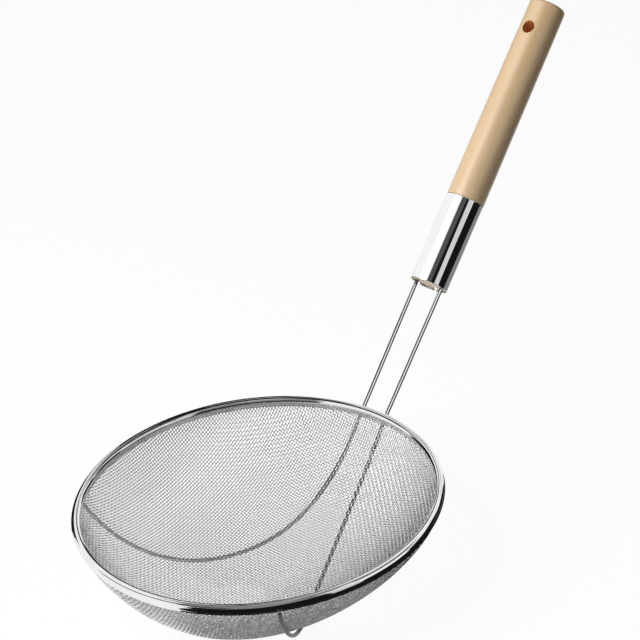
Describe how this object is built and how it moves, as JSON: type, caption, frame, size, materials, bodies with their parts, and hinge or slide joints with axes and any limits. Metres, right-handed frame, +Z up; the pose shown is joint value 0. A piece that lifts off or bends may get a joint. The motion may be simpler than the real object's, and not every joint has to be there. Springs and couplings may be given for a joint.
{
  "type": "wire skimmer",
  "caption": "Wire skimmer with a round bowl of woven steel mesh in a rolled rim, a wire frame under the bowl, a bright steel ferrule and a plain wooden handle with a hanging hole.",
  "frame": {"origin": "below the middle of the bounding box, level with the lowest point of the bowl", "axes": "+X from the bowl towards the end of the handle, +Y to the left frame wire, +Z up, square to the rim"},
  "size_m": [0.3962, 0.1998, 0.2265],
  "materials": {
    "handle_wood": "sanded pale hardwood under a thin satin lacquer",
    "ferrule_metal": "mirror bright plating",
    "frame_wire": "bright drawn wire",
    "rim_steel": "bright rolled sheet",
    "mesh_steel": "bright plain weave wire cloth"
  },
  "bodies": {
    "root": {"handle": "handle_wood", "ferrule": "ferrule_metal", "left_frame_wire": "frame_wire", "right_frame_wire": "frame_wire", "rim_band": "rim_steel", "rim_core_wire": "frame_wire", "mesh_bowl": "mesh_steel"}
  },
  "joints": []
}
